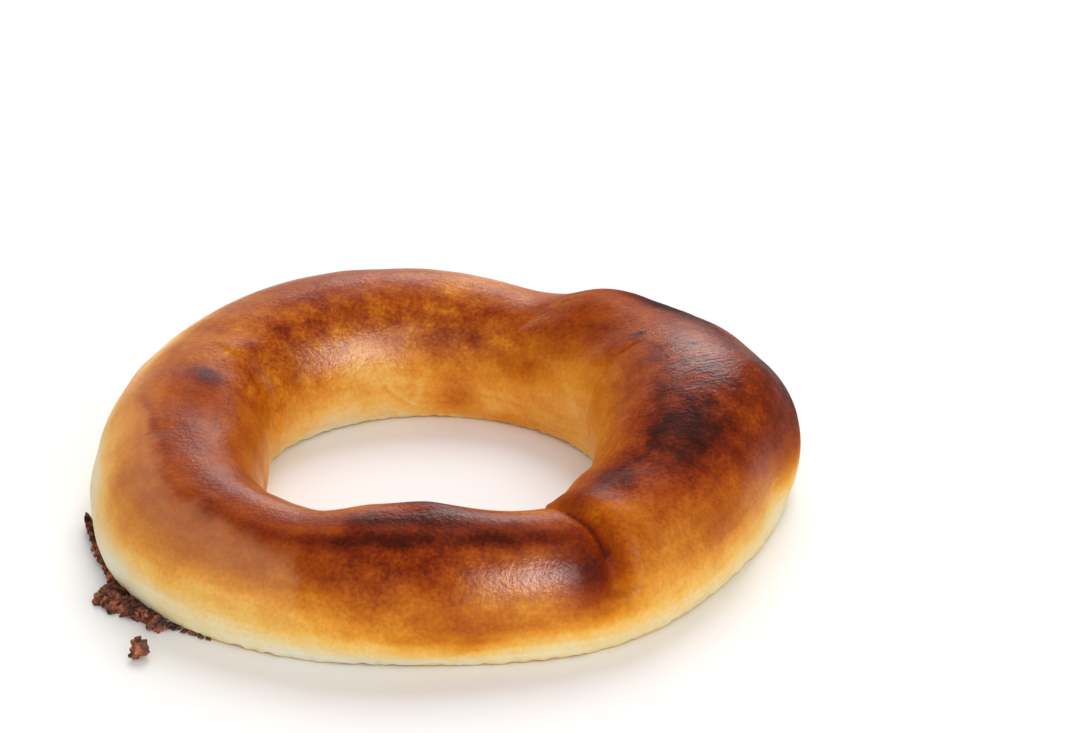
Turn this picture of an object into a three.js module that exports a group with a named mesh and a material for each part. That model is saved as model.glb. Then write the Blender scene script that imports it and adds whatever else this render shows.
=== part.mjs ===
// A filled bread ring: one rope of dough, bent round and pressed together at its two ends,
// and the crust of filling that leaked out from under it and baked hard on the tray.
// Millimetres, +Z up, resting on z = 0. The side that the photograph looks at is -Y.
import * as THREE from 'three';
import { ParametricGeometry } from 'three/addons/geometries/ParametricGeometry.js';

const fullTurn = 2 * Math.PI;
const toRadians = Math.PI / 180;

// ---------------------------------------------------------------- the rope of dough

// The rope at each hour of a clock face that is read from the right-hand side (+X) through
// the back (+Y): how far its middle lies from the ring's centre, half its width, its height.
const hours = [
  { reach: 61.0, halfWidth: 24.5, height: 35.0 },
  { reach: 62.5, halfWidth: 23.0, height: 32.5 },
  { reach: 58.0, halfWidth: 18.5, height: 27.5 },
  { reach: 60.0, halfWidth: 20.0, height: 29.5 },
  { reach: 62.0, halfWidth: 21.5, height: 31.0 },
  { reach: 61.0, halfWidth: 18.5, height: 28.0 },
  { reach: 56.5, halfWidth: 20.5, height: 29.0 },
  { reach: 63.5, halfWidth: 19.5, height: 28.0 },
  { reach: 62.0, halfWidth: 16.5, height: 26.5 },
  { reach: 54.0, halfWidth: 19.5, height: 29.0 },
  { reach: 64.5, halfWidth: 15.5, height: 26.0 },
  { reach: 57.0, halfWidth: 20.0, height: 29.5 },
];
const hourAngle = fullTurn / hours.length;
const hourBlend = 0.56 * hourAngle;

// The cross-section, as shares of the half width and of the height.
const waist = 0.32; // height of the widest line
const foot = 0.80; // half width of the flat base
const footAngle = 62 * toRadians; // how far below the widest line the base begins
const crownPower = 2.1; // 2 makes the crown an ellipse, more makes it squarer
const reliefFade = 5; // the relief fades out over this height above the base

// Angles in the lists below are degrees: `round` is the angle round the ring, as above, and
// `over` the angle over the rope, 0 at its outer side, 90 on top and 180 at the hole.
// Swells stand proud of the crust by `rise`, and pinches go in.
const swells = [
  { round: 66, over: 82, spreadRound: 11, spreadOver: 50, rise: -2.6 }, // pinch at the back
  { round: 50, over: 80, spreadRound: 9, spreadOver: 50, rise: 2.0 }, // start of the thick end
  { round: 5, over: 10, spreadRound: 9, spreadOver: 50, rise: 1.2 }, // right-hand side
  { round: 347, over: 0, spreadRound: 9, spreadOver: 50, rise: -2.4 },
  { round: 314, over: 150, spreadRound: 11, spreadOver: 35, rise: 3.0 }, // thick end, at the hole
  { round: 284, over: 0, spreadRound: 10, spreadOver: 50, rise: -1.0 },
  { round: 262, over: -5, spreadRound: 12, spreadOver: 55, rise: 1.2 }, // belly at the front
  { round: 238, over: 0, spreadRound: 10, spreadOver: 50, rise: -1.0 },
  { round: 254, over: 112, spreadRound: 8, spreadOver: 30, rise: 0.9 }, // lip of the hole
  { round: 241, over: 112, spreadRound: 7, spreadOver: 30, rise: -0.9 },
  { round: 267, over: 108, spreadRound: 8, spreadOver: 9, rise: 0.9 }, // fold on that lip
  { round: 30, over: 195, spreadRound: 7, spreadOver: 30, rise: -2.0 },
];

// Creases run straight over the crust between two places.
// A lip is a rim that stands beside the crease, to the left of its way if above zero.
const creases = [
  // where the two ends of the rope meet
  { from: { round: 300.5, over: 125 }, to: { round: 300.8, over: 20 }, depth: 2.6, width: 2.2, lip: 0.8 },
  // folds at the left and right ends of the hole
  { from: { round: 153, over: 170 }, to: { round: 152, over: 130 }, depth: 1.0, width: 3.0, lip: -0.5 },
  { from: { round: 27, over: 182 }, to: { round: 24.5, over: 142 }, depth: 1.0, width: 3.2, lip: 0.4 },
  // twist wrinkles behind the hole
  { from: { round: 54.5, over: 96 }, to: { round: 68, over: 134 }, depth: 0.5, width: 2.2, lip: 0 },
  { from: { round: 59, over: 88 }, to: { round: 65, over: 120 }, depth: 0.4, width: 2.2, lip: 0 },
];
const alongPerDegree = 1.05; // mm on the crust for a degree round the ring
const acrossPerDegree = 0.40; // mm on the crust for a degree over the rope
const lipShift = 2.2; // how far a lip lies from its crease, in widths of the crease
const lipWidth = 1.6; // how wide a lip is, in widths of the crease

// ------------------------------------------------------------- the leaked filling

// The strip of leaked filling, from its loose tip at the left to its thin end at the front:
// how high it stands, how wide it is, and how far it stands off the side of the bread.
const leakPlaces = [
  { round: 185.5, height: 5.5, width: 1.3, off: 2.4 },
  { round: 190, height: 5.0, width: 1.4, off: 1.2 },
  { round: 197, height: 4.0, width: 1.2, off: 0.4 },
  { round: 204, height: 3.0, width: 1.3, off: 0.4 },
  { round: 207, height: 2.8, width: 2.2, off: 0.4 },
  { round: 210, height: 3.0, width: 9.6, off: 0.4 },
  { round: 213.5, height: 3.0, width: 7.8, off: 0.4 },
  { round: 217, height: 3.0, width: 6.0, off: 0.4 },
  { round: 220.5, height: 2.6, width: 5.2, off: 0.4 },
  { round: 222.5, height: 2.4, width: 4.6, off: 0.4 },
  { round: 224.5, height: 1.4, width: 1.2, off: 0.4 },
  { round: 231, height: 1.0, width: 0.8, off: 0.4 },
];
const leakCrag = 0.14; // depth of the crags, as a share of the strip's width and height
const leakRest = 0.35; // share of the section that is cut flat by the tray

// ----------------------------------------------------------------- mesh resolution

const ringStations = 150; // sections round the ring
const stationPull = 0.5; // how much the sections crowd towards the joint of the two ends
const sectionPoints = 30;
const leakStations = 56;
const leakPoints = 10;

// ------------------------------------------------------------------------ the ring

// Brings a difference of angles into -180 to 180 degrees.
function turned(angle) {
  return ((angle % 360) + 540) % 360 - 180;
}

// The rope's reach, half width and height at an angle round the ring.
function ropeAt(angle) {
  const rope = { reach: 0, halfWidth: 0, height: 0 };
  let total = 0;
  hours.forEach((hour, index) => {
    const away = turned((angle - index * hourAngle) / toRadians) * toRadians;
    const weight = Math.exp(-0.5 * (away / hourBlend) ** 2);
    rope.reach += weight * hour.reach;
    rope.halfWidth += weight * hour.halfWidth;
    rope.height += weight * hour.height;
    total += weight;
  });
  rope.reach /= total;
  rope.halfWidth /= total;
  rope.height /= total;
  return rope;
}

// The cross-section at an angle over the rope, in shares of its half width and height.
function sectionAt(over) {
  const side = Math.sign(Math.cos(over));
  if (Math.sin(over) >= 0) {
    const power = 2 / crownPower;
    return {
      out: side * Math.abs(Math.cos(over)) ** power,
      up: waist + (1 - waist) * Math.sin(over) ** power,
    };
  }
  const below = Math.asin(-Math.sin(over)); // a quarter turn at the middle of the base
  const bend = Math.min(below / footAngle, 1) * Math.PI / 2;
  const inward = Math.max((below - footAngle) / (Math.PI / 2 - footAngle), 0);
  return {
    out: side * (foot + (1 - foot) * Math.cos(bend) - foot * inward),
    up: waist * (1 - Math.sin(bend)),
  };
}

// How far the crust stands in or out at a place, in mm.
function reliefAt(round, over) {
  let rise = 0;
  for (const swell of swells) {
    const awayRound = turned(round - swell.round) / swell.spreadRound;
    const awayOver = turned(over - swell.over) / swell.spreadOver;
    rise += swell.rise * Math.exp(-(awayRound ** 2) - awayOver ** 2);
  }
  for (const crease of creases) {
    const way = new THREE.Vector2(
      turned(crease.to.round - crease.from.round) * alongPerDegree,
      (crease.to.over - crease.from.over) * acrossPerDegree,
    );
    const place = new THREE.Vector2(
      turned(round - crease.from.round) * alongPerDegree,
      turned(over - crease.from.over) * acrossPerDegree,
    );
    const share = THREE.MathUtils.clamp(place.dot(way) / way.lengthSq(), 0, 1);
    const left = Math.sign(way.cross(place));
    const away = place.distanceTo(way.clone().multiplyScalar(share));
    rise -= crease.depth * Math.exp(-((away / crease.width) ** 2));
    if (crease.lip !== 0) {
      const fromLip = (away * left * Math.sign(crease.lip) / crease.width - lipShift) / lipWidth;
      rise += Math.abs(crease.lip) * Math.exp(-(fromLip ** 2));
    }
  }
  return rise;
}

// A place on the crust: its distance from the ring's axis and its height.
function crustAt(angle, over) {
  const rope = ropeAt(angle);
  const section = sectionAt(over);
  const out = section.out * rope.halfWidth;
  const up = (section.up - waist) * rope.height;
  const fade = THREE.MathUtils.smoothstep(section.up * rope.height, 0, reliefFade);
  const rise = fade * reliefAt(angle / toRadians, over / toRadians);
  const stretch = 1 + rise / Math.hypot(out, up);
  return { far: rope.reach + out * stretch, high: waist * rope.height + up * stretch };
}

function breadRing() {
  const joint = creases[0].from.round * toRadians;
  const geometry = new ParametricGeometry((u, v, point) => {
    const even = (u % 1) * fullTurn;
    const angle = even - stationPull * Math.sin(even - joint);
    const crust = crustAt(angle, (v % 1) * fullTurn);
    point.set(crust.far * Math.cos(angle), crust.far * Math.sin(angle), Math.max(crust.high, 0));
  }, ringStations, sectionPoints);
  const crustMaterial = new THREE.MeshStandardMaterial({ color: 0xb8661f, roughness: 0.45, metalness: 0 });
  const mesh = new THREE.Mesh(geometry, crustMaterial);
  mesh.name = 'bread_ring';
  return mesh;
}

// ------------------------------------------------------------------------ the leak

// The strip's sizes at an angle round the ring, passing smoothly between its places.
function leakAt(round) {
  const next = Math.max(leakPlaces.findIndex((place) => place.round >= round), 1);
  const start = leakPlaces[next - 1];
  const end = leakPlaces[next];
  const share = THREE.MathUtils.smoothstep(round, start.round, end.round);
  const between = (size) => THREE.MathUtils.lerp(start[size], end[size], share);
  return { height: between('height'), width: between('width'), off: between('off') };
}

// Distance of the bread's outer side from the ring's axis, at a height below its widest line.
function sideAt(angle, high) {
  const rope = ropeAt(angle);
  const bend = Math.asin(THREE.MathUtils.clamp(1 - high / (waist * rope.height), 0, 1));
  return crustAt(angle, -bend / (Math.PI / 2) * footAngle).far;
}

// Crags of the strip at a place along it and round its section, within 1 of zero.
function cragAt(round, turn) {
  return 0.6 * Math.sin(1.9 * round + 2 * turn) + 0.4 * Math.sin(3.7 * round - 3 * turn + 1);
}

function leakedFilling() {
  const first = leakPlaces[0].round;
  const last = leakPlaces[leakPlaces.length - 1].round;
  const geometry = new ParametricGeometry((u, v, point) => {
    const round = THREE.MathUtils.lerp(first, last, u);
    const angle = round * toRadians;
    const turn = (v % 1) * fullTurn;
    const leak = leakAt(round);
    const ends = Math.sqrt(Math.max(1 - (2 * u - 1) ** 8, 0)); // closes both ends of the strip
    const outer = ends * (0.5 + 0.5 * Math.cos(turn)) * (1 + leakCrag * cragAt(round, turn));
    const upper = ends * ((1 - leakRest) * (1 + Math.sin(turn)) - leakRest);
    const high = Math.max(leak.height * upper * (1 + leakCrag * cragAt(round + 1, turn)), 0);
    const far = sideAt(angle, Math.min(high, leak.height)) + leak.off + leak.width * outer;
    point.set(far * Math.cos(angle), far * Math.sin(angle), high);
  }, leakStations, leakPoints);
  const crumbMaterial = new THREE.MeshStandardMaterial({ color: 0x4a2416, roughness: 0.8, metalness: 0 });
  const mesh = new THREE.Mesh(geometry, crumbMaterial);
  mesh.name = 'leaked_filling';
  return mesh;
}

// ---------------------------------------------------------------------- the object

const bread = new THREE.Group();
bread.add(breadRing());
bread.add(leakedFilling());

// The origin goes under the middle of the whole object.
const middle = new THREE.Box3().setFromObject(bread).getCenter(new THREE.Vector3());
bread.position.set(-middle.x, -middle.y, 0);

export default bread;
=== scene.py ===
"""A filled bread ring: its browned crust, the filling that leaked out at its foot, and a crumb.

The scene is in metres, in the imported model's frame. The ring's own sizes are in millimetres,
and its places in degrees: `round` goes round the ring from the right-hand side (+X) through the
back (+Y), and `over` goes over the rope, 0 at its outer side, 90 on top and 180 at the hole.
"""

import math

import bmesh
import bpy
from mathutils import Euler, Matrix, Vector
import numpy as np


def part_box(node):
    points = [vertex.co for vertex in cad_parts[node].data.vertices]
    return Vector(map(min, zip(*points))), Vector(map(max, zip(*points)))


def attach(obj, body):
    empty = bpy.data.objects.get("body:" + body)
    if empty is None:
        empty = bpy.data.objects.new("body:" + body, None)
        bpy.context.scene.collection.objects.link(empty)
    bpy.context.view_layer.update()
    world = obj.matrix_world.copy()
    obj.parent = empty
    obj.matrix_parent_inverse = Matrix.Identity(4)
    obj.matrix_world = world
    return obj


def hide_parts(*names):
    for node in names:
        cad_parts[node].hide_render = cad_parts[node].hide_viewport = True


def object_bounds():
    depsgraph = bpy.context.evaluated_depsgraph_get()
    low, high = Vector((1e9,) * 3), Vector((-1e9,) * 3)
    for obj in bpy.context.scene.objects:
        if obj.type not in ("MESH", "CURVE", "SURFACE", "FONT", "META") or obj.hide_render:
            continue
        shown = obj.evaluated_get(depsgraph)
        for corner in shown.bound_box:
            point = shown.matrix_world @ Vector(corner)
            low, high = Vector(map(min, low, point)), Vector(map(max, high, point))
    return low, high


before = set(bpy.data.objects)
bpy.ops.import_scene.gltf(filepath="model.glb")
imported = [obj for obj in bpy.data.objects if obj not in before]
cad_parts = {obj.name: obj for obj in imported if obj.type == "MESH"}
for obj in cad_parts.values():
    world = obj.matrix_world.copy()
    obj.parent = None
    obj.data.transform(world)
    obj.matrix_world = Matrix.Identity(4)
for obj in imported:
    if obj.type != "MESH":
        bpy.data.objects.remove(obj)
cad_box = [list(corner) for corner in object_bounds()]

MM = 0.001

# ------------------------------------------------------------------ the rope of dough

# The rope at each hour of a clock face: how far its middle lies from the ring's centre,
# half its width, and its height.
HOURS = np.array([
    (61.0, 24.5, 35.0),
    (62.5, 23.0, 32.5),
    (58.0, 18.5, 27.5),
    (60.0, 20.0, 29.5),
    (62.0, 21.5, 31.0),
    (61.0, 18.5, 28.0),
    (56.5, 20.5, 29.0),
    (63.5, 19.5, 28.0),
    (62.0, 16.5, 26.5),
    (54.0, 19.5, 29.0),
    (64.5, 15.5, 26.0),
    (57.0, 20.0, 29.5),
])
HOUR_BLEND = 0.56  # of an hour: how softly one hour passes into the next

# The cross-section, as shares of the half width and of the height.
WAIST = 0.32  # height of the widest line
FOOT = 0.80  # half width of the flat base
FOOT_ANGLE = 62  # degrees below the widest line where the base begins
CROWN_POWER = 2.1
RELIEF_FADE = 5  # mm above the base over which the relief fades in

# Swells and pinches of the crust: round, over, their spreads, and the rise in mm.
SWELLS = [
    (66, 82, 11, 50, -2.6),  # pinch at the back
    (50, 80, 9, 50, 2.0),  # start of the thick end
    (5, 10, 9, 50, 1.2),  # right-hand side
    (347, 0, 9, 50, -2.4),
    (314, 150, 11, 35, 3.0),  # thick end, at the hole
    (284, 0, 10, 50, -1.0),
    (262, -5, 12, 55, 1.2),  # belly at the front
    (238, 0, 10, 50, -1.0),
    (254, 112, 8, 30, 0.9),  # lip of the hole
    (241, 112, 7, 30, -0.9),
    (267, 108, 8, 9, 0.9),  # fold on that lip
    (30, 195, 7, 30, -2.0),
]

# Creases over the crust: from (round, over) to (round, over), depth, width and lip in mm.
# A lip stands to the left of the way if above zero.
CREASES = [
    ((300.5, 125), (300.8, 20), 2.6, 2.2, 0.8),  # joint of the two ends
    ((153, 170), (152, 130), 1.0, 3.0, -0.5),  # folds at the ends of the hole
    ((27, 182), (24.5, 142), 1.0, 3.2, 0.4),
    ((54.5, 96), (68, 134), 0.5, 2.2, 0),  # twist wrinkles behind the hole
    ((59, 88), (65, 120), 0.4, 2.2, 0),
]
ALONG = 1.05  # mm on the crust for a degree round the ring
ACROSS = 0.40  # mm on the crust for a degree over the rope
LIP_SHIFT = 2.2
LIP_WIDTH = 1.6

RING_STATIONS = 540
SECTION_POINTS = 176


def turned(angle):
    """Brings a difference of angles into -180 to 180 degrees."""
    return (angle + 180) % 360 - 180


def rope_at(round_):
    """The rope's reach, half width and height at angles round the ring."""
    hour = 360 / len(HOURS)
    away = turned(round_[..., None] - np.arange(len(HOURS)) * hour)
    weight = np.exp(-0.5 * (away / (HOUR_BLEND * hour)) ** 2)
    weight /= weight.sum(-1, keepdims=True)
    return np.moveaxis(weight @ HOURS, -1, 0)


def section_at(over):
    """The cross-section at angles over the rope, in shares of its half width and height."""
    angle = np.radians(over)
    side = np.sign(np.cos(angle))
    power = 2 / CROWN_POWER
    crown_out = side * np.abs(np.cos(angle)) ** power
    crown_up = WAIST + (1 - WAIST) * np.abs(np.sin(angle)) ** power
    below = np.degrees(np.arcsin(np.clip(-np.sin(angle), 0, 1)))
    bend = np.radians(90) * np.minimum(below / FOOT_ANGLE, 1)
    inward = np.maximum((below - FOOT_ANGLE) / (90 - FOOT_ANGLE), 0)
    foot_out = side * (FOOT + (1 - FOOT) * np.cos(bend) - FOOT * inward)
    foot_up = WAIST * (1 - np.sin(bend))
    upper = np.sin(angle) >= 0
    return np.where(upper, crown_out, foot_out), np.where(upper, crown_up, foot_up)


def on_stroke(round_, over, start, end):
    """Distance in mm from a straight stroke over the crust, above zero to its left."""
    way = np.array([turned(end[0] - start[0]) * ALONG, (end[1] - start[1]) * ACROSS])
    along = turned(round_ - start[0]) * ALONG
    across = turned(over - start[1]) * ACROSS
    share = np.clip((along * way[0] + across * way[1]) / (way @ way), 0, 1)
    left = np.sign(way[0] * across - way[1] * along)
    return left * np.hypot(along - share * way[0], across - share * way[1])


def spot(round_, over, place):
    """A soft round-edged spot: place gives round, over and their spreads."""
    away_round = turned(round_ - place[0]) / place[2]
    away_over = turned(over - place[1]) / place[3]
    return np.exp(-(away_round ** 2) - away_over ** 2)


def spots(round_, over, places):
    """The sum of soft spots: each place gives round, over, their spreads, and how much."""
    return sum(much * spot(round_, over, place) for *place, much in places)


def relief_at(round_, over):
    """How far the crust stands in or out, in mm."""
    rise = spots(round_, over, SWELLS)
    for start, end, depth, width, lip in CREASES:
        away = on_stroke(round_, over, start, end)
        rise -= depth * np.exp(-((away / width) ** 2))
        if lip:
            from_lip = (away * np.sign(lip) / width - LIP_SHIFT) / LIP_WIDTH
            rise += abs(lip) * np.exp(-(from_lip ** 2))
    return rise


def smooth_step(value, low, high):
    """0 up to low and 1 from high on, with a smooth rise between them."""
    share = np.clip((value - low) / (high - low), 0, 1)
    return share * share * (3 - 2 * share)


def crust_at(round_, over, extra=0.0):
    """Points of the crust in mm from the ring's centre, with extra mm of fine relief."""
    reach, half_width, height = rope_at(round_)
    out, up = section_at(over)
    fade = smooth_step(up * height, 0, RELIEF_FADE)
    out, up = out * half_width, (up - WAIST) * height
    stretch = 1 + (fade * relief_at(round_, over) + extra) / np.hypot(out, up)
    far = reach + out * stretch
    high = np.maximum(WAIST * height + up * stretch, 0)
    angle = np.radians(round_)
    return np.stack([far * np.cos(angle), far * np.sin(angle), high], -1)


WAVE_SIZE = 0.6  # brings a sum of random waves to about -1 to 1
WAVE_SPREAD = (0.6, 1.4)  # how much finer or coarser than asked for each wave is


def waves(points, length, seed, count=28):
    """A smooth random field over points, about -1 to 1, with bumps of a length."""
    draw = np.random.default_rng(seed)
    ways = draw.normal(size=(count, 3))
    ways /= np.linalg.norm(ways, axis=1, keepdims=True)
    ways *= 2 * math.pi / length * draw.uniform(*WAVE_SPREAD, (count, 1))
    phases = draw.uniform(0, 2 * math.pi, count)
    field = np.zeros(points.shape[:-1])
    for way, phase in zip(ways, phases):
        field += np.cos(points @ way + phase)
    return field / math.sqrt(count / 2) * WAVE_SIZE


def layers(points, steps):
    """A sum of random fields: each step gives its size, the length of its bumps and a seed."""
    return sum(size * waves(points, length, seed) for size, length, seed in steps)


# -------------------------------------------------------------------- how it is baked

# How brown the crust is over the rope, before its patches: over, and bake from 0, cream,
# to 1, burnt.
BAKE_OVER = [
    (-90, 0.36), (-60, 0.34), (-48, 0.14), (-30, 0.12), (-10, 0.20), (10, 0.34), (35, 0.47),
    (65, 0.60), (100, 0.64), (130, 0.59), (152, 0.49), (172, 0.38), (200, 0.31), (225, 0.22),
    (234, 0.21), (243, 0.34), (270, 0.36),
]

# Patches that are browner (+) or paler (-): round, over, their spreads, and the change.
PATCHES = [
    # thick end at the right
    (8, 92, 14, 20, 0.06), (346, 85, 20, 26, 0.18), (338, 92, 7, 12, 0.12), (333, 71, 11, 17, 0.20),
    # (32, 68) and (36, 72) are browner, partly painted shade where another bread leans against the thick
    # end
    (345, 110, 18, 10, 0.06), (20, 120, 25, 12, 0.04), (32, 68, 16, 11, 0.30), (36, 72, 8, 8, 0.07),
    (0, 130, 7, 8, 0.07), (352, 25, 16, 22, 0.16), (346, 34, 10, 12, 0.10), (342, 48, 12, 14, 0.07),
    (353, 58, 8, 12, 0.05), (9, 42, 12, 22, 0.24), (12, 52, 8, 10, 0.05), (6, 14, 13, 24, 0.20),
    (1, 14, 9, 12, 0.04),
    # thick end beside the joint
    (314, 104, 8, 12, 0.20), (314, 118, 6, 8, 0.06), (325, 96, 8, 8, 0.10), (308, 76, 6, 18, -0.09),
    (311, 88, 5, 8, 0.08), (330, 45, 16, 12, 0.03), (325, 24, 8, 12, 0.14), (345, 150, 20, 15, -0.04),
    # wall of the hole
    (40, 150, 25, 20, -0.10), (33, 118, 12, 20, 0.06), (50, 128, 6, 18, 0.08), (60, 158, 12, 12, 0.12),
    (82, 190, 8, 20, 0.15), (62, 214, 22, 15, 0.13), (122, 205, 26, 26, -0.12), (126, 222, 28, 8, -0.10),
    (112, 162, 12, 14, -0.16), (150, 165, 28, 14, 0.06), (185, 152, 24, 14, 0.08), (192, 178, 8, 12, 0.08),
    # back
    (84, 98, 6, 14, -0.15), (77, 74, 9, 12, -0.12), (84, 68, 16, 9, -0.08), (106, 122, 6, 8, -0.06),
    (114, 120, 6, 8, 0.10), (118, 92, 9, 12, 0.05), (79, 138, 5, 14, 0.12), (92, 146, 12, 8, 0.06),
    (130, 122, 5, 9, 0.10), (140, 152, 6, 8, 0.06), (140, 118, 12, 9, 0.05), (145, 100, 20, 24, -0.10),
    # paler along the back's upper edge as painted sheen, and at (148, 52) and (158, 50) as painted
    # backlight where the crust turns away at the left
    (145, 60, 22, 12, -0.10), (148, 52, 10, 8, -0.12), (158, 50, 10, 9, -0.10),
    # left: burnt spot and brown bands, above a pale outer side
    (167, 105, 6, 22, 0.15), (167, 103, 4, 9, 0.12), (194, 98, 20, 18, 0.07), (222, 93, 8, 8, 0.04),
    # (169, 36) and (184, 20) are paler partly as painted backlight at the left edge, over the pale outer
    # side
    (216, 130, 6, 10, 0.08), (215, 52, 22, 20, 0.08), (165, 60, 20, 22, -0.08), (169, 36, 9, 9, -0.12),
    (184, 20, 11, 11, -0.13), (190, 30, 16, 24, -0.20), (194, 54, 12, 12, -0.05), (206, -4, 24, 20, -0.17),
    # front: burnt band along the hole
    (270, 87, 14, 10, 0.23), (267, 109, 10, 5, 0.16), (271, 99, 8, 6, 0.08), (276, 100, 7, 8, 0.08),
    (253, 86, 12, 8, 0.10), (235, 88, 16, 8, 0.05), (228, 72, 10, 10, 0.09), (284, 70, 10, 8, 0.20),
    (263, 66, 20, 8, 0.20), (250, 104, 14, 9, -0.08), (291, 105, 7, 10, -0.16),
    # front: belly
    # (297, 34), burnt crust beside the joint, and (284, 6) are also darkened as painted shadow of a torn
    # piece lying against the ring there
    (262, 40, 16, 28, 0.21), (297, 34, 6, 32, 0.36), (287, 40, 6, 10, 0.10), (235, 40, 14, 26, 0.06),
    (234, 16, 8, 10, -0.06), (276, -4, 12, 22, 0.23), (266, 2, 8, 10, 0.06), (284, 6, 8, 11, 0.06),
    (256, -40, 22, 14, -0.12),
    # small dark pits
    (26, 108, 1.0, 2.6, 0.30), (13, 89, 0.9, 2.4, 0.30), (343, 83, 1.0, 2.6, 0.20),
]

# The edge of the glaze on the left arm: round, over. Below it the crust is paler and matt.
GLAZE_EDGE = [(160, 40), (175, 61), (187, 73), (196, 76), (205, 72), (215, 66), (228, 60),
              (238, 54), (245, 50), (247, 27), (249, -20), (251, -60)]
GLAZE_ENDS = [(166, 182), (243, 251)]  # round: where the edge fades in, and where it fades out
GLAZE_BLUR = (195, 225)  # round: where the edge passes from sharp to soft
GLAZE_WIDTHS = (1.4, 4.6)  # mm: half the edge's width where it is sharp, and where it is soft
GLAZE_FADE = 14  # mm: how far down the paler crust reaches
MATT_FADE = 28  # mm: how far down the matt, dusty look with its painted sheen reaches
# How the edge wanders, in degrees round and over: size, length in mm, and seed.
WANDER_ROUND = [(1.4, 9, 41), (0.5, 3.2, 42)]
WANDER_OVER = [(4.0, 11, 43), (1.6, 3, 44)]
UNDER_GLAZE_BAKE = 0.035  # how much paler the crust is just below the edge
UNDER_GLAZE_GLOSS = 0.6  # how much less glossy it is there


def below_glaze(round_, over, points, fade):
    """1 just below the glaze's edge, fading over some mm further down, and 0 above the edge."""
    rounds, overs = zip(*GLAZE_EDGE)
    round_ = round_ + layers(points, WANDER_ROUND)
    over = over + layers(points, WANDER_OVER)
    under = (np.interp(round_, rounds, overs) - over) * ACROSS
    fade_in, fade_out = GLAZE_ENDS
    ends = smooth_step(round_, *fade_in) * (1 - smooth_step(round_, *fade_out))
    sharp, soft = GLAZE_WIDTHS
    width = sharp + (soft - sharp) * smooth_step(round_, *GLAZE_BLUR)
    return ends * smooth_step(under, -width, width) * np.exp(-np.maximum(under, 0) / fade)


# How many waves of the streaks fit round the ring, and over the rope: from, and below.
STREAKS_ROUND = (-14, 15)
STREAKS_OVER = (14, 44)


def streaks(round_, over, seed, count=40):
    """A smooth random field of streaks along the rope, about -1 to 1."""
    draw = np.random.default_rng(seed)
    field = np.zeros(round_.shape)
    for _ in range(count):
        around = int(draw.integers(*STREAKS_ROUND))
        across = int(draw.integers(*STREAKS_OVER))
        angle = np.radians(around * round_ + across * over)
        field += np.cos(angle + draw.uniform(0, 2 * math.pi))
    return field / math.sqrt(count / 2) * WAVE_SIZE


# Where the crust is most mottled: round, over, their spreads, and how much.
MOTTLED = [
    (125, 130, 45, 35, 1.0), (78, 125, 22, 40, 0.45), (345, 85, 35, 45, 0.8), (270, 50, 24, 40, 0.7),
]

BROAD_SHADES = [(0.02, 14, 11)]  # how much the bake wanders, the length in mm, and a seed
BLOTCH_WAVES = (6, 12)  # length in mm of smaller blotches, and a seed
PLAIN_BLOTCHES = 0.01  # their size on plain crust
MOTTLED_BLOTCHES = 0.05  # and how much more where it is mottled
STREAK_SIZE = 0.012  # how much the streaks along the rope change the bake
STREAK_SEED = 13

# Narrow marks that are browner (+) or paler (-): from (round, over) to (round, over), width in
# mm, and the change.
MARKS = [
    # where the two ends of the rope meet
    ((300.5, 112), (300.8, 48), 0.7, 0.20),
    # corner on the wall behind the hole
    ((97, 198), (105, 178), 0.8, -0.08), ((96, 197), (94, 176), 1.2, -0.05),
    ((98.4, 199), (106.6, 178), 0.6, 0.07),
    # front lip of the hole
    ((250, 105), (262, 111), 0.5, -0.10), ((262, 111), (277, 105), 0.5, -0.08),
    ((256, 99), (272, 101), 0.4, -0.06), ((258, 104), (274, 108), 0.45, 0.10),
    # edge of the glaze, where it is thickest
    ((176, 66), (189, 77), 1.2, 0.06), ((189, 77), (203, 83), 1.2, 0.05),
    # thick end
    ((340, 78), (349, 92), 0.5, 0.10), ((348, 74), (355, 96), 0.4, 0.08),
    ((329, 100), (343, 96), 0.6, 0.08), ((6, 104), (20, 108), 0.5, 0.07),
]


def over_rope(over, stops):
    """A value that changes over the rope, from stops of over and value."""
    overs, values = zip(*stops)
    return np.interp((over + 90) % 360 - 90, overs, values)


def bake_at(round_, over, points):
    """How brown the crust is, from 0, cream dough, to 1, burnt."""
    level = over_rope(over, BAKE_OVER) + spots(round_, over, PATCHES)
    level -= UNDER_GLAZE_BAKE * below_glaze(round_, over, points, GLAZE_FADE)
    blotches = PLAIN_BLOTCHES + MOTTLED_BLOTCHES * spots(round_, over, MOTTLED)
    level += layers(points, BROAD_SHADES) + blotches * waves(points, *BLOTCH_WAVES)
    level += STREAK_SIZE * streaks(round_, over, STREAK_SEED)
    for start, end, width, change in MARKS:
        level += change * np.exp(-((on_stroke(round_, over, start, end) / width) ** 2))
    return np.clip(level, 0, 1)


# How glossy the crust is over the rope: over, and gloss from 0, matt, to 1.
GLOSS_OVER = [(-90, 0.0), (-15, 0.1), (20, 0.45), (60, 0.6), (150, 0.6), (200, 0.4), (270, 0.0)]

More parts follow.
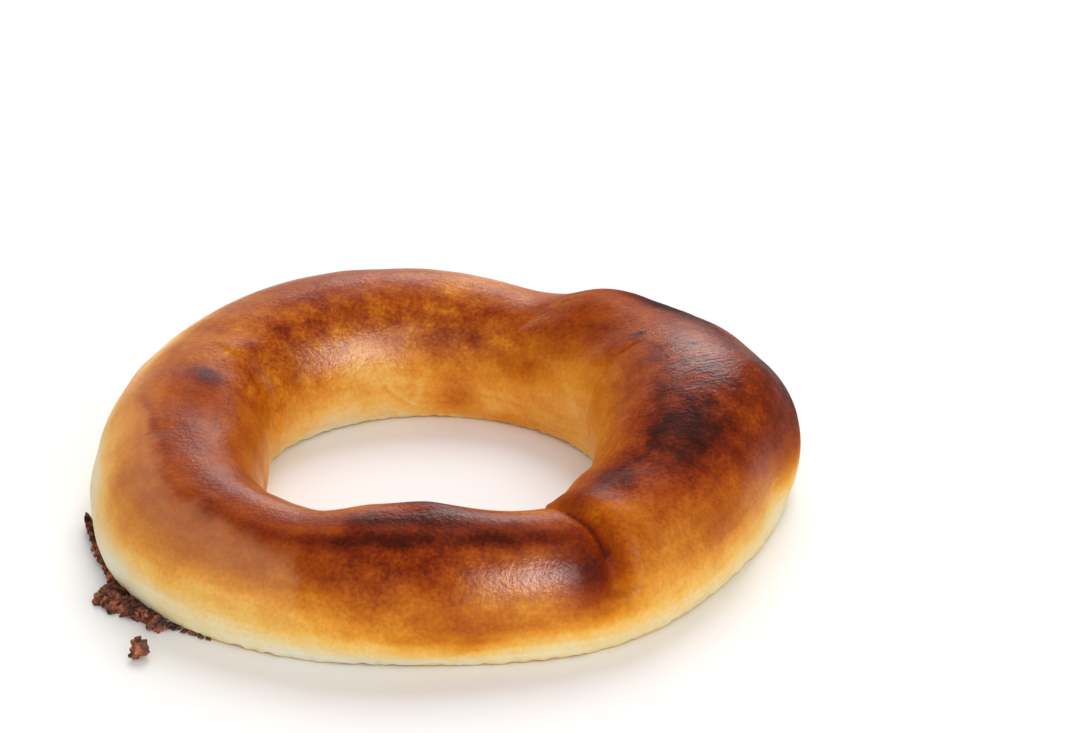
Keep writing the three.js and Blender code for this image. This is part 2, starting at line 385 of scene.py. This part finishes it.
# Patches that are glossier (+) or more matt (-): round, over, their spreads, and the change.
GLOSS_PATCHES = [
    # thick end
    (335, 85, 20, 40, -0.35), (335, 120, 30, 16, -0.35), (3, 15, 14, 30, -0.5),
    (6, 86, 12, 17, 0.35), (30, 90, 9, 16, -0.2), (326, 105, 16, 22, -0.3), (12, 128, 22, 14, -0.4),
    # back
    (38, 58, 28, 24, -0.6), (48, 95, 14, 26, -0.4), (57, 105, 8, 22, -0.2),
    (98, 148, 12, 14, -0.35), (120, 157, 18, 7, 0.2), (153, 150, 8, 22, -0.6), (150, 60, 20, 18, -0.1),
    # left, and front
    (190, 182, 14, 12, -0.4), (176, 106, 16, 26, -0.55), (207, 112, 9, 16, -0.25),
    (244, 112, 16, 12, 0.3), (266, 108, 10, 8, -0.3), (100, 72, 45, 12, -0.1),
    (282, 78, 10, 12, 0.15), (286, 108, 10, 8, -0.4), (260, 52, 15, 26, -0.45),
    (286, 36, 7, 14, 0.35), (298, 38, 6, 30, -0.6), (271, 36, 7, 22, -0.4), (302, 80, 7, 60, -0.5),
]

# Where fine wrinkles cross the skin, with painted light and shade on them: round, over, their spreads, and
# how deep.
WRINKLED = [(12, 88, 26, 30, 1.0), (57, 108, 12, 24, 1.0), (262, 108, 20, 10, 0.8)]


def gloss_at(round_, over, points):
    """How glossy the crust is, from 0, matt, to 1."""
    level = over_rope(over, GLOSS_OVER) + spots(round_, over, GLOSS_PATCHES)
    return level - UNDER_GLAZE_GLOSS * below_glaze(round_, over, points, MATT_FADE)


# -------------------------------------------------------------------------- materials

def srgb(red, green, blue):
    """A colour in the shader's own linear values, from 0 to 255 as seen on a screen."""
    def linear(value):
        value /= 255
        return value / 12.92 if value <= 0.04045 else ((value + 0.055) / 1.055) ** 2.4
    return linear(red), linear(green), linear(blue), 1.0


NOISE_SPAN = (0.3, 0.7)  # nearly all of a noise's values lie between these


class Nodes:
    """Short calls that add nodes to one material and link them."""

    def __init__(self, name):
        self.material = bpy.data.materials.new(name)
        self.material.use_nodes = True
        self.tree = self.material.node_tree
        self.shader = self.tree.nodes["Principled BSDF"]

    def link(self, source, socket):
        self.tree.links.new(source, socket)

    def add(self, kind, inputs=(), **settings):
        node = self.tree.nodes.new(kind)
        for key, value in settings.items():
            setattr(node, key, value)
        for key, value in dict(inputs).items():
            if isinstance(value, bpy.types.NodeSocket):
                self.link(value, node.inputs[key])
            else:
                node.inputs[key].default_value = value
        return node

    def attribute(self, name):
        return self.add("ShaderNodeAttribute", attribute_name=name).outputs["Fac"]

    def place(self):
        return self.add("ShaderNodeTexCoord").outputs["Object"]

    def stretched(self, vector, azimuth, scale):
        """Places whose pattern is drawn out by a scale along each axis, turned to an azimuth."""
        inputs = {"Vector": vector, "Rotation": (0, 0, math.radians(azimuth)), "Scale": scale}
        return self.add("ShaderNodeMapping", inputs, vector_type="TEXTURE").outputs[0]

    def noise(self, vector, scale, detail, roughness):
        inputs = {"Vector": vector, "Scale": scale, "Detail": detail, "Roughness": roughness}
        return self.add("ShaderNodeTexNoise", inputs).outputs["Fac"]

    def math(self, operation, first, second):
        return self.add("ShaderNodeMath", {0: first, 1: second}, operation=operation).outputs[0]

    def spread(self, value, low, high, to_low, to_high):
        inputs = {"Value": value, "From Min": low, "From Max": high,
                  "To Min": to_low, "To Max": to_high}
        return self.add("ShaderNodeMapRange", inputs).outputs[0]

    def swing(self, noise, size):
        """A noise brought to between -size and size."""
        return self.spread(noise, *NOISE_SPAN, -size, size)

    def ramp(self, value, stops):
        node = self.add("ShaderNodeValToRGB", {"Fac": value})
        points = node.color_ramp.elements
        while len(points) < len(stops):
            points.new(0.5)
        for point, (position, colour) in zip(points, stops):
            point.position = position
            point.color = srgb(*colour)
        return node.outputs["Color"]

    def mix(self, share, first, second):
        node = self.add("ShaderNodeMix", {0: share, 6: first, 7: second}, data_type="RGBA")
        return node.outputs[2]

    def bump(self, height, distance, under=None):
        inputs = {"Height": height, "Distance": distance}
        if under is not None:
            inputs["Normal"] = under
        return self.add("ShaderNodeBump", inputs).outputs[0]


BAKE_COLOURS = [
    (0.00, (232, 229, 212)),
    (0.12, (236, 217, 166)),
    (0.25, (239, 188, 92)),
    (0.37, (226, 148, 42)),
    (0.50, (192, 105, 8)),
    (0.62, (160, 69, 1)),
    (0.74, (124, 40, 0)),
    (0.86, (80, 21, 2)),
    (1.00, (52, 14, 4)),
]
DUSTY_SHEEN_COLOUR = (206, 162, 124)  # of crust that the glaze missed: its paler matt colour, greyed by a painted sheen
DUSTY_SHEEN_SHARE = 0.27

# Patterns in the crust: how many bumps fit in a metre, their finer detail and how rough it is,
# and their depth in metres.
BLOTCHES = (160, 5, 0.66)
BLOTCH_DEPTH = 0.0003
SPECKLE = (1000, 3, 0.62)
SPECKLE_DEPTH = 0.00014
FOLDS = (1100, 2, 0.5)
FOLD_DEPTH = 0.00017
FOLD_AZIMUTH = 28  # degrees: the way the folds run
FOLD_STRETCH = (5, 1, 1.5)

# How far each pattern changes the bake (for the folds, a painted light and shade), and how strongly where
# the crust isn't mottled and where it is.
BLOTCH_BAKE = 0.05
SPECKLE_BAKE = 0.06
# the folds' ridges are paler and their grooves browner: painted light and shade
FOLD_LIGHT_AND_SHADE = -0.22
PATTERN_SHARES = (0.5, 1.5)

ROUGHNESS = (0.65, 0.38)  # of matt and of glossy crust
SPECKLE_ROUGHNESS = 0.05
COAT = 0.85  # weight of the glaze on the glossiest crust


def crust_material():
    nodes = Nodes("crust")
    place = nodes.place()
    blotches = nodes.noise(place, *BLOTCHES)
    speckle = nodes.noise(place, *SPECKLE)
    folds = nodes.noise(nodes.stretched(place, FOLD_AZIMUTH, FOLD_STRETCH), *FOLDS)
    folds = nodes.math("MULTIPLY", nodes.math("SUBTRACT", folds, 0.5), nodes.attribute("wrinkled"))

    pattern = nodes.math("ADD", nodes.swing(blotches, BLOTCH_BAKE), nodes.swing(speckle, SPECKLE_BAKE))
    pattern_share = nodes.spread(nodes.attribute("mottle"), 0, 1, *PATTERN_SHARES)
    pattern = nodes.math("MULTIPLY", pattern, pattern_share)
    # painted light on the folds' ridges and painted shade in their grooves
    pattern = nodes.math("ADD", pattern, nodes.math("MULTIPLY", folds, FOLD_LIGHT_AND_SHADE))
    level = nodes.math("ADD", nodes.attribute("bake"), pattern)
    # crust below the glaze is mixed towards a paler grey-brown: its own matt colour, with a painted sheen
    dusty_sheen = nodes.math("MULTIPLY", nodes.attribute("dusty_sheen"), DUSTY_SHEEN_SHARE)
    colour = nodes.mix(dusty_sheen, nodes.ramp(level, BAKE_COLOURS), srgb(*DUSTY_SHEEN_COLOUR))
    nodes.link(colour, nodes.shader.inputs["Base Color"])

    gloss = nodes.attribute("gloss")
    rough = nodes.spread(gloss, 0, 1, *ROUGHNESS)
    rough = nodes.math("ADD", rough, nodes.swing(speckle, SPECKLE_ROUGHNESS))
    nodes.link(rough, nodes.shader.inputs["Roughness"])
    nodes.shader.inputs["Specular IOR Level"].default_value = 0.05
    nodes.link(nodes.math("MULTIPLY", gloss, COAT), nodes.shader.inputs["Coat Weight"])
    nodes.shader.inputs["Coat Roughness"].default_value = 0.26

    skin = nodes.bump(speckle, SPECKLE_DEPTH)
    skin = nodes.bump(folds, FOLD_DEPTH, under=skin)
    skin = nodes.bump(blotches, BLOTCH_DEPTH, under=skin)
    nodes.link(skin, nodes.shader.inputs["Normal"])
    nodes.link(skin, nodes.shader.inputs["Coat Normal"])
    return nodes.material


# The filling's colours: its own brown in the middle, darker as painted shade towards its gaps and paler as
# painted light towards the tops of its lumps.
FILLING_SHADE_TO_LIGHT = [(0.3, (42, 16, 8)), (0.5, (120, 57, 32)), (0.68, (188, 108, 68))]
FILLING_LUMPS = (700, 4, 0.65)
FILLING_CLOTS = (260, 2, 0.5)
CLOT_SPAN = (0.35, 0.65)  # of their noise, from dark clots to pale ones
CLOT_SHADES = (-0.14, 0.08)  # how far they shift the colour
FILLING_DEPTH = 0.0005


def filling_material():
    nodes = Nodes("baked_filling")
    place = nodes.place()
    lumps = nodes.noise(place, *FILLING_LUMPS)
    clots = nodes.noise(place, *FILLING_CLOTS)
    level = nodes.math("ADD", lumps, nodes.spread(clots, *CLOT_SPAN, *CLOT_SHADES))
    # the lumps that make its bumps are dark in their gaps and pale on their tops: painted shade and
    # painted light
    nodes.link(nodes.ramp(level, FILLING_SHADE_TO_LIGHT), nodes.shader.inputs["Base Color"])
    nodes.shader.inputs["Roughness"].default_value = 0.7
    nodes.link(nodes.bump(lumps, FILLING_DEPTH), nodes.shader.inputs["Normal"])
    return nodes.material


def floor_material():
    nodes = Nodes("pale_floor")
    nodes.shader.inputs["Base Color"].default_value = (0.93, 0.93, 0.93, 1)
    nodes.shader.inputs["Roughness"].default_value = 0.6
    return nodes.material


# ----------------------------------------------------------------------------- pieces

def new_piece(name, points, faces, material):
    mesh = bpy.data.meshes.new(name)
    mesh.from_pydata(points.tolist(), [], faces)
    mesh.update()
    mesh.polygons.foreach_set("use_smooth", [True] * len(mesh.polygons))
    mesh.materials.append(material)
    piece = bpy.data.objects.new(name, mesh)
    bpy.context.scene.collection.objects.link(piece)
    return piece


def paint(piece, name, values):
    """Stores one value for each of a piece's points, for its material."""
    layer = piece.data.attributes.new(name, "FLOAT", "POINT")
    layer.data.foreach_set("value", np.clip(values, 0, 1).ravel())


def middle(corners):
    return (np.array(corners[0]) + np.array(corners[1])) / 2


def crust_grid():
    """Angles of the crust's grid, and its points in mm from the ring's centre."""
    rounds = np.arange(RING_STATIONS) * 360 / RING_STATIONS
    overs = np.arange(SECTION_POINTS) * 360 / SECTION_POINTS
    round_, over = np.meshgrid(rounds, overs, indexing="ij")
    return round_, over, crust_at(round_, over)


grid_round, grid_over, plain_crust = crust_grid()
flat_points = plain_crust.reshape(-1, 3)
plain_box = (flat_points.min(0) * MM, flat_points.max(0) * MM)
ring_centre = middle(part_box("bread_ring")) - middle(plain_box)
ring_centre[2] = 0


# Unevenness of the crust: size in mm, length of its bumps in mm, and seed.
UNEVEN = [(0.16, 22, 1), (0.07, 9, 2)]
UNEVEN_DROP = 0.10  # mm: keeps its highest bumps within the solid
FOOT_BUMPS = [(0.12, 2.2, 4)]
FOOT_DENTS = [(0.35, 5, 3)]


def crust_piece():
    uneven = layers(plain_crust, UNEVEN) - UNEVEN_DROP
    crinkle = layers(plain_crust, FOOT_BUMPS) - np.abs(layers(plain_crust, FOOT_DENTS))
    fade = smooth_step(plain_crust[..., 2], 0, RELIEF_FADE)
    points = crust_at(grid_round, grid_over, uneven * fade + crinkle * (1 - fade))
    points = np.clip(points.reshape(-1, 3) * MM + ring_centre, *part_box("bread_ring"))
    steps = np.arange(RING_STATIONS)[:, None] * SECTION_POINTS
    across = np.arange(SECTION_POINTS)[None, :]
    after = (across + 1) % SECTION_POINTS
    next_steps = (steps + SECTION_POINTS) % (RING_STATIONS * SECTION_POINTS)
    faces = np.stack([steps + across, next_steps + across, next_steps + after, steps + after], -1)
    piece = new_piece("crust", points, faces.reshape(-1, 4).tolist(), crust_material())
    paint(piece, "bake", bake_at(grid_round, grid_over, plain_crust))
    paint(piece, "gloss", gloss_at(grid_round, grid_over, plain_crust))
    paint(piece, "mottle", spots(grid_round, grid_over, MOTTLED))
    # where the crust below the glaze gets its matt colour and painted sheen
    paint(piece, "dusty_sheen", below_glaze(grid_round, grid_over, plain_crust, MATT_FADE))
    paint(piece, "wrinkled", spots(grid_round, grid_over, WRINKLED))
    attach(piece, "root")
    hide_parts("bread_ring")


# ------------------------------------------------------------------ the leaked filling

# The strip of leaked filling, from its loose tip at the left to its thin end at the front:
# place round the ring, height, width, and how far it stands off the side of the bread.
LEAK_PLACES = np.array([
    (185.5, 5.5, 1.3, 2.4),
    (190, 5.0, 1.4, 1.2),
    (197, 3.8, 1.0, 0.4),
    (204, 2.8, 1.1, 0.4),
    (207, 2.4, 2.0, 0.4),
    (209, 2.4, 7.6, 0.4),
    (210, 2.4, 9.4, 0.4),
    (213.5, 2.4, 7.6, 0.4),
    (217, 2.6, 5.8, 0.4),
    (220.5, 2.4, 5.0, 0.4),
    (222.5, 2.2, 4.6, 0.4),
    (224, 1.2, 1.2, 0.4),
    (231, 0.6, 0.5, 0.4),
])
LEAK_START = 0.4  # degrees from its tip to the first clump of flakes
LEAK_STEP = 0.5  # degrees from one clump to the next
LEAK_JITTER = 0.4  # degrees that a flake lies to either side of its clump, at most
LEAK_TOP = 0.72  # height of the topmost flakes, as a share of the strip's
LEAK_SLOPE = 0.5  # how much narrower the strip is at its top
SECTION_PER_FLAKE = 5  # mm2 of the strip's section that each flake after the first fills
FLAKE_RADIUS = (0.45, 0.95)  # mm
# How a flake's radius is scaled, by the strip's width and by its height: mm, and the scales.
SCALE_BY_WIDTH = ((0, 4.8), (1.0, 1.6))
SCALE_BY_HEIGHT = ((0, 2.4), (0.4, 1.0))
FLAKE_THIN = (1.0, 0.7, 0.35)  # least and greatest sizes of a flake, as shares of its radius
FLAKE_WIDE = (1.9, 1.3, 0.8)
FLAKE_SINK = 0.5  # radii from a flake's middle to what it lies on or against
FLAKE_REACH = 1.2  # radii of the strip's width that a flake takes up

CRUMB_PLACE = (-64.0, -66.8)  # mm from the ring's centre
CRUMB_SIZE = (2.0, 1.8, 2.3)  # half its size, to the middles of its outer lumps
CRUMB_LUMPS = 26
CRUMB_SPREAD = (0.2, 0.9)  # how far out the lumps lie, as shares of that
CRUMB_RADIUS = (0.7, 1.3)

CRAG_VOXEL = 0.22  # mm: the grain of the skin that joins the flakes
CRAGS = [(0.18, 1.2, 31), (0.10, 0.6, 32)]  # its roughness in mm, length in mm, and seed
LUMP_DENT = 0.25  # depth of the dents in each lump, in radii
LUMP_WAVE = 1.3  # and their length
LUMP_WAVES = 12


def side_at(round_, high):
    """Distance of the bread's outer side from the ring's axis, at a height below its waist."""
    bend = np.arcsin(np.clip(1 - high / (WAIST * rope_at(round_)[2]), 0, 1))
    side = crust_at(round_, -np.degrees(bend) / 90 * FOOT_ANGLE)
    return np.hypot(side[..., 0], side[..., 1])


def lump(centre, radii, draw):
    """A craggy little ball of filling: its points and faces."""
    mesh = bmesh.new()
    bmesh.ops.create_icosphere(mesh, subdivisions=2, radius=1)
    points = np.array([vertex.co for vertex in mesh.verts])
    faces = [[vertex.index for vertex in face.verts] for face in mesh.faces]
    mesh.free()
    dents = waves(points, LUMP_WAVE, int(draw.integers(1 << 30)), LUMP_WAVES)
    points *= 1 + LUMP_DENT * dents[:, None]
    turn = Euler(draw.uniform(0, 2 * math.pi, 3)).to_matrix()
    return points * radii @ np.array(turn) + centre, faces


def craggy_piece(name, lumps, low, high, material):
    """Joins lumps into one craggy skin, kept between two corners."""
    points = []
    faces = []
    for lump_points, lump_faces in lumps:
        faces += [[corner + len(points) for corner in face] for face in lump_faces]
        points += list(lump_points)
    points = np.array(points) * MM + ring_centre
    points[:, 2] = np.maximum(points[:, 2], 0)
    piece = new_piece(name, points, faces, material)
    remesh = piece.modifiers.new("skin", "REMESH")
    remesh.mode = "VOXEL"
    remesh.voxel_size = CRAG_VOXEL * MM
    shaped = bpy.data.meshes.new_from_object(
        piece.evaluated_get(bpy.context.evaluated_depsgraph_get()))
    piece.modifiers.clear()
    piece.data = shaped
    skin = np.array([vertex.co for vertex in shaped.vertices])
    normals = np.array([vertex.normal for vertex in shaped.vertices])
    crags = layers(skin / MM, CRAGS) * MM
    skin = np.clip(skin + normals * crags[:, None], low, high)
    shaped.vertices.foreach_set("co", skin.ravel())
    shaped.polygons.foreach_set("use_smooth", [True] * len(shaped.polygons))
    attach(piece, "root")
    return piece


def leak_piece(material):
    draw = np.random.default_rng(5)
    lumps = []
    places, *sizes = LEAK_PLACES.T
    for place in np.arange(places[0] + LEAK_START, places[-1], LEAK_STEP):
        high, wide, off = (np.interp(place, places, size) for size in sizes)
        scale = np.interp(wide, *SCALE_BY_WIDTH) * np.interp(high, *SCALE_BY_HEIGHT)
        for _ in range(1 + int(wide * high / SECTION_PER_FLAKE)):
            radius = draw.uniform(*FLAKE_RADIUS) * scale
            up = draw.uniform(0, 1)
            out = draw.uniform(0, 1) * (1 - LEAK_SLOPE * up)
            level = radius * FLAKE_SINK + up * max(high * LEAK_TOP - radius, 0)
            far = side_at(np.array(place), np.array(level)) + off + radius * FLAKE_SINK
            far += out * max(wide - FLAKE_REACH * radius, 0)
            angle = math.radians(place + draw.uniform(-LEAK_JITTER, LEAK_JITTER))
            centre = (far * math.cos(angle), far * math.sin(angle), level)
            lumps.append(lump(centre, radius * draw.uniform(FLAKE_THIN, FLAKE_WIDE), draw))
    leak = craggy_piece("leaked_crust", lumps, *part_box("leaked_filling"), material)
    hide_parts("leaked_filling")


def crumb_piece(material):
    draw = np.random.default_rng(8)
    lumps = []
    for _ in range(CRUMB_LUMPS):
        away = draw.normal(size=3)
        away *= draw.uniform(*CRUMB_SPREAD) / np.linalg.norm(away)
        centre = np.array([*CRUMB_PLACE, CRUMB_SIZE[2]]) + away * np.array(CRUMB_SIZE)
        lumps.append(lump(centre, draw.uniform(*CRUMB_RADIUS, 3), draw))
    craggy_piece("crumb", lumps, *cad_box, material)


# ------------------------------------------------------------------- camera and lights

# The photograph's view: the camera looks at the ring from the front and above.
CAMERA_DISTANCE = 0.850  # from under the ring's centre
CAMERA_HEIGHT_ANGLE = math.radians(29)
CAMERA_PITCH = math.radians(26.87)  # downwards
CAMERA_YAW = math.radians(-1.89)  # to the right, so that the ring lies left of the middle
CAMERA_LENS = 121.8  # mm
FILM_WIDTH = 36  # mm

# Panels of light that show in the gloss: azimuth, elevation, distance, width and height, and
# power. Azimuth 0 is behind the ring, and 90 at its right.
SOFTBOXES = {
    "back_panel": (-12, 19, 1.3, (1.6, 0.5), 2.4),
    "back_light": (10, 22, 1.3, (0.5, 0.3), 2.0),
    "front_light": (152, 30, 0.8, (0.13, 0.45), 5.5),
    "right_light": (126, 30, 0.8, (0.13, 0.35), 4.0),
}
# Soft lights that don't show in it: azimuth, elevation, degrees across, and strength.
FILLS = {"front_fill": (172, 32, 60, 1.0), "back_fill": (12, 48, 34, 1.7)}
ROOM_STRENGTH = 0.60
FLOOR_HALF = 3.0


def add_camera():
    data = bpy.data.cameras.new("camera")
    data.lens = CAMERA_LENS
    data.sensor_width = FILM_WIDTH
    data.clip_start = 0.01
    camera = bpy.data.objects.new("camera", data)
    bpy.context.scene.collection.objects.link(camera)
    back = CAMERA_DISTANCE * math.cos(CAMERA_HEIGHT_ANGLE)
    up = CAMERA_DISTANCE * math.sin(CAMERA_HEIGHT_ANGLE)
    camera.location = (ring_centre[0], ring_centre[1] - back, up)
    camera.rotation_euler = (math.radians(90) - CAMERA_PITCH, 0, CAMERA_YAW)
    bpy.context.scene.camera = camera


def add_light(name, data, azimuth, elevation):
    light = bpy.data.objects.new(name, data)
    light.rotation_euler = (math.radians(90 - elevation), 0, math.radians(180 - azimuth))
    bpy.context.scene.collection.objects.link(light)
    return light


def add_softbox(name, azimuth, elevation, distance, size, power):
    """A panel that lights the scene only by its reflection."""
    data = bpy.data.lights.new(name, "AREA")
    data.shape = "RECTANGLE"
    data.size, data.size_y = size
    data.energy = power
    light = add_light(name, data, azimuth, elevation)
    light.visible_diffuse = False
    flat = distance * math.cos(math.radians(elevation))
    up = distance * math.sin(math.radians(elevation))
    way = math.radians(azimuth)
    light.location = (flat * math.sin(way), flat * math.cos(way), up)


def add_fill(name, azimuth, elevation, angle, strength):
    """Light from one side that makes no reflection in the crust."""
    data = bpy.data.lights.new(name, "SUN")
    data.angle = math.radians(angle)
    data.energy = strength
    add_light(name, data, azimuth, elevation).visible_glossy = False


def add_world():
    world = bpy.data.worlds.new("white_room")
    world.use_nodes = True
    background = world.node_tree.nodes["Background"]
    background.inputs["Color"].default_value = (1, 1, 1, 1)
    background.inputs["Strength"].default_value = ROOM_STRENGTH
    world.cycles_visibility.glossy = False
    bpy.context.scene.world = world


def add_floor():
    corners = [(-1, -1, 0), (1, -1, 0), (1, 1, 0), (-1, 1, 0)]
    points = FLOOR_HALF * np.array(corners)
    floor = new_piece("floor", points, [(0, 1, 2, 3)], floor_material())


add_camera()
add_world()
for name, light in SOFTBOXES.items():
    add_softbox(name, *light)
for name, light in FILLS.items():
    add_fill(name, *light)
bpy.context.scene.view_settings.view_transform = "Standard"
add_floor()
crust_piece()
filling = filling_material()
leak_piece(filling)
crumb_piece(filling)
